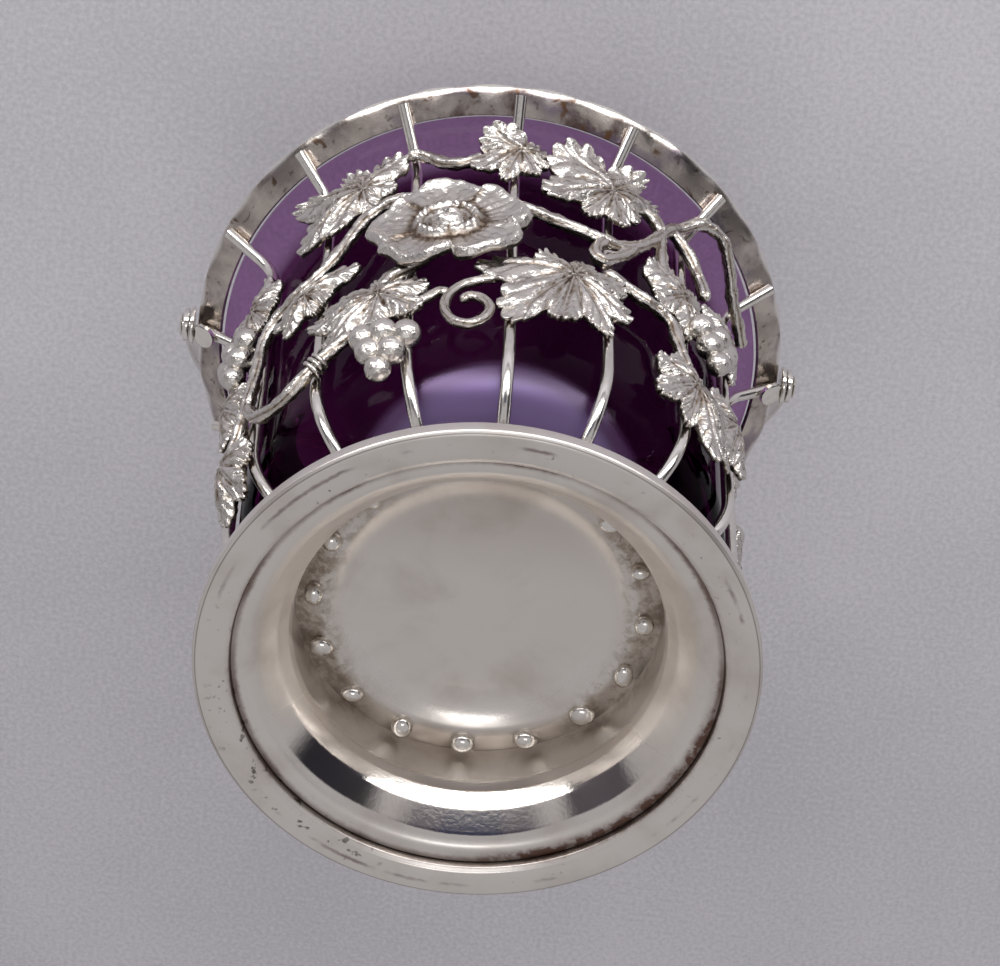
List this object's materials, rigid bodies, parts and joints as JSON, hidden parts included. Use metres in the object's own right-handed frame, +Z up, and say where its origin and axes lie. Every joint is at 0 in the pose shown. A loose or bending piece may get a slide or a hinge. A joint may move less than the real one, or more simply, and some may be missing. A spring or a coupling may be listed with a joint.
{
  "type": "sugar basket",
  "caption": "Footed silver sugar basket: wire cage with a cast grapevine, scalloped collar, swing handle and a lift-out amethyst glass liner.",
  "frame": {"origin": "middle of the foot, on the surface it stands on", "axes": "+Z up through the mouth; X through the handle's two pivots; -Y is the front"},
  "size_m": [0.0958, 0.0904, 0.1212],
  "materials": {
    "silver": "polished silver, lightly tarnished",
    "cast_silver": "cast and chased silver, tarnish in the hollows",
    "amethyst_glass": "clear amethyst glass, polished"
  },
  "bodies": {
    "basket": {"foot_ring": "silver", "foot": "silver", "base_plate": "silver", "collar": "silver", "wire_01": "silver", "wire_02": "silver", "wire_03": "silver", "wire_04": "silver", "wire_05": "silver", "wire_06": "silver", "wire_07": "silver", "wire_08": "silver", "wire_09": "silver", "wire_10": "silver", "wire_11": "silver", "wire_12": "silver", "wire_13": "silver", "wire_14": "silver", "wire_15": "silver", "wire_16": "silver", "hinge_lug_right": "silver", "hinge_lug_left": "silver", "hinge_rivet_right": "silver", "hinge_rivet_left": "silver", "leaf_rim_left_front": "cast_silver", "leaf_rim_middle_front": "cast_silver", "leaf_rim_right_front": "cast_silver", "leaf_middle_front": "cast_silver", "leaf_left_front": "cast_silver", "leaf_over_grapes_front": "cast_silver", "leaf_low_right_front": "cast_silver", "leaf_low_left_front": "cast_silver", "grape_spray_right_front": "cast_silver", "grape_spray_left_front": "cast_silver", "grape_bunch_front": "cast_silver", "flower_front": "cast_silver", "stem_rim_front": "cast_silver", "stem_main_front": "cast_silver", "stem_link_front": "cast_silver", "tendril_front": "cast_silver", "leaf_rim_left_back": "cast_silver", "leaf_rim_middle_back": "cast_silver", "leaf_rim_right_back": "cast_silver", "leaf_middle_back": "cast_silver", "leaf_left_back": "cast_silver", "leaf_over_grapes_back": "cast_silver", "leaf_low_right_back": "cast_silver", "leaf_low_left_back": "cast_silver", "grape_spray_right_back": "cast_silver", "grape_spray_left_back": "cast_silver", "grape_bunch_back": "cast_silver", "flower_back": "cast_silver", "stem_rim_back": "cast_silver", "stem_main_back": "cast_silver", "stem_link_back": "cast_silver", "tendril_back": "cast_silver"},
    "handle": {"handle": "silver"},
    "liner": {"liner": "amethyst_glass"}
  },
  "joints": [
    {"name": "handle_swing", "type": "hinge", "parent": "basket", "child": "handle", "pos_m": [0, 0, 0.0845], "axis": [1, 0, 0], "range_deg": [-80, 182]},
    {"name": "liner_lift", "type": "slide", "parent": "basket", "child": "liner", "axis": [0, 0, 1], "range_m": [0, 0.105]}
  ]
}
